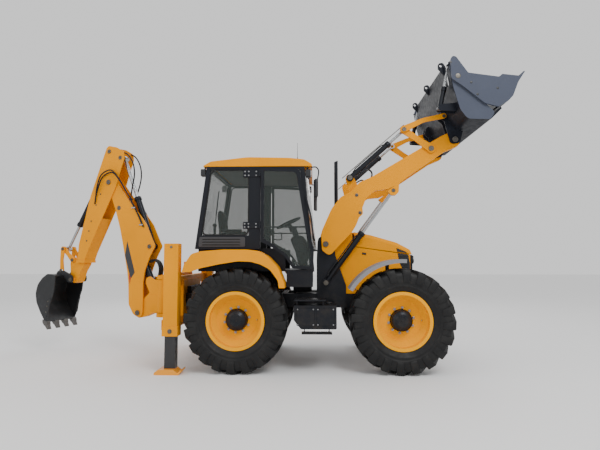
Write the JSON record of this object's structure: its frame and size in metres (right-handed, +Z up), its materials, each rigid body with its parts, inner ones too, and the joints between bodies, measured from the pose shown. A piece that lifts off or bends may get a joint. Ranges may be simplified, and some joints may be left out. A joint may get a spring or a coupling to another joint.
{
  "type": "backhoe loader",
  "caption": "Backhoe loader with clam loader bucket, swinging backhoe arm, enclosed cab, steered front wheels and sliding stabiliser legs.",
  "frame": {"origin": "on the ground under the middle of the machine's length and width, as parked", "axes": "+X forward towards the loader bucket, +Y to the machine's left, +Z up"},
  "size_m": [7.3955, 2.34, 4.232],
  "materials": {
    "orange_paint": "gloss",
    "black_paint": "satin",
    "bucket_grey": "satin",
    "wheel_orange": "gloss",
    "tyre": "matte",
    "guard_plastic": "matte",
    "chrome": "polished",
    "glass": "clear",
    "cab_plastic": "matte",
    "engine_iron": "matte"
  },
  "bodies": {
    "chassis": {"main_frame": "black_paint", "front_axle": "black_paint", "rear_axle": "black_paint", "engine": "engine_iron", "engine_cowl": "orange_paint", "front_grille": "black_paint", "exhaust_stack": "black_paint", "side_tanks": "black_paint", "rear_fenders": "orange_paint", "cab_frame": "black_paint", "cab_roof": "orange_paint", "cab_glass": "glass", "cab_interior": "cab_plastic", "seat": "cab_plastic", "work_lamps": "cab_plastic", "rear_frame": "orange_paint"},
    "hood": {"hood": "orange_paint"},
    "loader_arms": {"loader_arms": "orange_paint"},
    "lift_barrels": {"lift_barrels": "black_paint"},
    "lift_rods": {"lift_rods": "chrome"},
    "tilt_barrels": {"tilt_barrels": "black_paint"},
    "tilt_rods": {"tilt_rods": "chrome"},
    "bellcranks": {"bellcranks": "orange_paint"},
    "bucket_links": {"bucket_links": "orange_paint"},
    "loader_bucket": {"loader_bucket": "bucket_grey"},
    "clam_jaw": {"clam_jaw": "bucket_grey"},
    "clam_barrels": {"clam_barrels": "black_paint"},
    "clam_rods": {"clam_rods": "chrome"},
    "carriage": {"carriage": "orange_paint"},
    "kingpost": {"kingpost": "orange_paint"},
    "boom": {"boom": "orange_paint"},
    "boom_barrel": {"boom_barrel": "black_paint"},
    "boom_rod": {"boom_rod": "chrome"},
    "dipper": {"dipper": "orange_paint", "inner_dipper": "orange_paint"},
    "dipper_barrel": {"dipper_barrel": "black_paint"},
    "dipper_rod": {"dipper_rod": "chrome"},
    "curl_barrel": {"curl_barrel": "black_paint"},
    "curl_rod": {"curl_rod": "chrome"},
    "bucket_lever": {"bucket_lever": "orange_paint"},
    "bucket_link": {"bucket_link": "orange_paint"},
    "digging_bucket": {"digging_bucket": "bucket_grey"},
    "wheel_front_right": {"tyre_front_right": "tyre", "rim_front_right": "wheel_orange"},
    "wheel_rear_right": {"tyre_rear_right": "tyre", "rim_rear_right": "wheel_orange"},
    "knuckle_right": {"knuckle_right": "black_paint", "front_guard_right": "guard_plastic"},
    "door_right": {"door_right": "black_paint", "door_glass_right": "glass"},
    "stabiliser_right": {"stabiliser_right": "orange_paint"},
    "wheel_front_left": {"tyre_front_left": "tyre", "rim_front_left": "wheel_orange"},
    "wheel_rear_left": {"tyre_rear_left": "tyre", "rim_rear_left": "wheel_orange"},
    "knuckle_left": {"knuckle_left": "black_paint", "front_guard_left": "guard_plastic"},
    "door_left": {"door_left": "black_paint", "door_glass_left": "glass"},
    "stabiliser_left": {"stabiliser_left": "orange_paint"}
  },
  "joints": [
    {"name": "steer_right", "type": "hinge", "parent": "chassis", "child": "knuckle_right", "pos_m": [2.05, -0.805, 0.69], "axis": [0, 0, 1], "range_deg": [-18, 18]},
    {"name": "roll_front_right", "type": "hinge", "parent": "knuckle_right", "child": "wheel_front_right", "pos_m": [2.05, -0.955, 0.69], "axis": [0, 1, 0], "continuous": true},
    {"name": "roll_rear_right", "type": "hinge", "parent": "chassis", "child": "wheel_rear_right", "pos_m": [-0.14, -0.955, 0.69], "axis": [0, 1, 0], "continuous": true},
    {"name": "door_right_swing", "type": "hinge", "parent": "chassis", "child": "door_right", "pos_m": [0.148, -0.873, 2.3], "axis": [0, 0, -1], "range_deg": [0, 80]},
    {"name": "stabiliser_right_drop", "type": "slide", "parent": "chassis", "child": "stabiliser_right", "axis": [0, 0, 1], "range_m": [-0.12, 0.4]},
    {"name": "steer_left", "type": "hinge", "parent": "chassis", "child": "knuckle_left", "pos_m": [2.05, 0.805, 0.69], "axis": [0, 0, 1], "range_deg": [-18, 18]},
    {"name": "roll_front_left", "type": "hinge", "parent": "knuckle_left", "child": "wheel_front_left", "pos_m": [2.05, 0.955, 0.69], "axis": [0, 1, 0], "continuous": true},
    {"name": "roll_rear_left", "type": "hinge", "parent": "chassis", "child": "wheel_rear_left", "pos_m": [-0.14, 0.955, 0.69], "axis": [0, 1, 0], "continuous": true},
    {"name": "door_left_swing", "type": "hinge", "parent": "chassis", "child": "door_left", "pos_m": [0.148, 0.873, 2.3], "axis": [0, 0, 1], "range_deg": [0, 80]},
    {"name": "stabiliser_left_drop", "type": "slide", "parent": "chassis", "child": "stabiliser_left", "axis": [0, 0, 1], "range_m": [-0.12, 0.4]},
    {"name": "hood_lift", "type": "hinge", "parent": "chassis", "child": "hood", "pos_m": [1.48, 0, 1.889], "axis": [0, -1, 0], "range_deg": [0, 50]},
    {"name": "loader_lift", "type": "hinge", "parent": "chassis", "child": "loader_arms", "pos_m": [1.065, 0, 1.717], "axis": [0, -1, 0], "range_deg": [-76, 6]},
    {"name": "lift_barrel_turn", "type": "hinge", "parent": "chassis", "child": "lift_barrels", "pos_m": [1.065, 0, 1.162], "axis": [0, -1, 0], "range_deg": [-62.98, 5.16]},
    {"name": "lift_rod_slide", "type": "slide", "parent": "lift_barrels", "child": "lift_rods", "axis": [0.5932, 0, 0.8051], "range_m": [-0.6156, 0.0504]},
    {"name": "bucket_tilt", "type": "hinge", "parent": "loader_arms", "child": "loader_bucket", "pos_m": [2.935, 0, 3.227], "axis": [0, 1, 0], "range_deg": [-30, 80]},
    {"name": "bellcrank_turn", "type": "hinge", "parent": "loader_arms", "child": "bellcranks", "pos_m": [2.59, 0, 3.097], "axis": [0, 1, 0], "range_deg": [-24.98, 66.28]},
    {"name": "bucket_link_turn", "type": "hinge", "parent": "loader_bucket", "child": "bucket_links", "pos_m": [2.775, 0, 3.562], "axis": [0, 1, 0], "range_deg": [-51.32, 19.37]},
    {"name": "tilt_barrel_turn", "type": "hinge", "parent": "loader_arms", "child": "tilt_barrels", "pos_m": [1.42, 0, 2.682], "axis": [0, 1, 0], "range_deg": [-1.39, 3.37]},
    {"name": "tilt_rod_slide", "type": "slide", "parent": "tilt_barrels", "child": "tilt_rods", "axis": [0.749, 0, 0.6626], "range_m": [-0.1893, 0.5014]},
    {"name": "clam_open", "type": "hinge", "parent": "loader_bucket", "child": "clam_jaw", "pos_m": [2.815, 0, 3.932], "axis": [0, -1, 0], "range_deg": [0, 70]},
    {"name": "clam_barrel_turn", "type": "hinge", "parent": "loader_bucket", "child": "clam_barrels", "pos_m": [2.62, 0, 3.56], "axis": [0, -1, 0], "range_deg": [-0.2, 21.55]},
    {"name": "clam_rod_slide", "type": "slide", "parent": "clam_barrels", "child": "clam_rods", "axis": [0.2161, 0, 0.9764], "range_m": [-0.216, 0.002]},
    {"name": "side_shift", "type": "slide", "parent": "chassis", "child": "carriage", "axis": [0, 1, 0], "range_m": [-0.5, 0.5]},
    {"name": "backhoe_swing", "type": "hinge", "parent": "carriage", "child": "kingpost", "pos_m": [-1.455, 0, 0.9], "axis": [0, 0, 1], "range_deg": [-72, 108]},
    {"name": "boom_lift", "type": "hinge", "parent": "kingpost", "child": "boom", "pos_m": [-1.82116, 0.11897, 0.667], "axis": [0.309, 0.9511, 0], "range_deg": [-100, 0]},
    {"name": "boom_barrel_turn", "type": "hinge", "parent": "kingpost", "child": "boom_barrel", "pos_m": [-1.65472, 0.06489, 1.172], "axis": [0.309, 0.9511, 0], "range_deg": [-101.4, 0.2]},
    {"name": "boom_rod_slide", "type": "slide", "parent": "boom_barrel", "child": "boom_rod", "axis": [-0.4312, 0.1401, 0.8913], "range_m": [-0.002, 0.8417]},
    {"name": "dipper_swing", "type": "hinge", "parent": "boom", "child": "dipper", "pos_m": [-2.4013, 0.30747, 2.747], "axis": [-0.309, -0.9511, 0], "range_deg": [-85, 8]},
    {"name": "dipper_barrel_turn", "type": "hinge", "parent": "boom", "child": "dipper_barrel", "pos_m": [-1.6357, 0.05871, 1.697], "axis": [-0.309, -0.9511, 0], "range_deg": [-2.75, 0.44]},
    {"name": "dipper_rod_slide", "type": "slide", "parent": "dipper_barrel", "child": "dipper_rod", "axis": [-0.3606, 0.1172, 0.9253], "range_m": [-0.6062, 0.0589]},
    {"name": "dig_curl", "type": "hinge", "parent": "dipper", "child": "digging_bucket", "pos_m": [-3.06229, 0.52224, 1.165], "axis": [0.309, 0.9511, 0], "range_deg": [-80, 25]},
    {"name": "lever_turn", "type": "hinge", "parent": "dipper", "child": "bucket_lever", "pos_m": [-3.08606, 0.52996, 1.485], "axis": [0.309, 0.9511, 0], "range_deg": [-83.64, 26.27]},
    {"name": "dig_link_turn", "type": "hinge", "parent": "bucket_lever", "child": "bucket_link", "pos_m": [-3.26201, 0.58713, 1.67], "axis": [0.309, 0.9511, 0], "range_deg": [-23.3, 74.12]},
    {"name": "curl_barrel_turn", "type": "hinge", "parent": "dipper", "child": "curl_barrel", "pos_m": [-2.40606, 0.30902, 3.252], "axis": [0.309, 0.9511, 0], "range_deg": [-2.62, 0.96]},
    {"name": "curl_rod_slide", "type": "slide", "parent": "curl_barrel", "child": "curl_rod", "axis": [-0.4703, 0.1528, -0.8692], "range_m": [-0.1065, 0.3365]}
  ],
  "couplings": [
    {"joint": "steer_right", "follows": "steer_left", "ratio": 1},
    {"joint": "lift_barrel_turn", "follows": "loader_lift", "ratio": 0.826},
    {"joint": "lift_rod_slide", "follows": "loader_lift", "m_per_rad": 0.4626},
    {"joint": "bellcrank_turn", "follows": "bucket_tilt", "ratio": 0.826},
    {"joint": "bucket_link_turn", "follows": "bucket_tilt", "ratio": -0.639},
    {"joint": "tilt_barrel_turn", "follows": "bucket_tilt", "ratio": 0.0396},
    {"joint": "tilt_rod_slide", "follows": "bucket_tilt", "m_per_rad": 0.3577},
    {"joint": "clam_barrel_turn", "follows": "clam_open", "ratio": 0.305},
    {"joint": "clam_rod_slide", "follows": "clam_open", "m_per_rad": -0.1752},
    {"joint": "boom_barrel_turn", "follows": "boom_lift", "ratio": 1.012},
    {"joint": "boom_rod_slide", "follows": "boom_lift", "m_per_rad": -0.4811},
    {"joint": "dipper_barrel_turn", "follows": "dipper_swing", "ratio": 0.03},
    {"joint": "dipper_rod_slide", "follows": "dipper_swing", "m_per_rad": 0.4073},
    {"joint": "lever_turn", "follows": "dig_curl", "ratio": 1.043},
    {"joint": "dig_link_turn", "follows": "dig_curl", "ratio": -0.924},
    {"joint": "curl_barrel_turn", "follows": "dig_curl", "ratio": 0.0302},
    {"joint": "curl_rod_slide", "follows": "dig_curl", "m_per_rad": -0.2396}
  ]
}
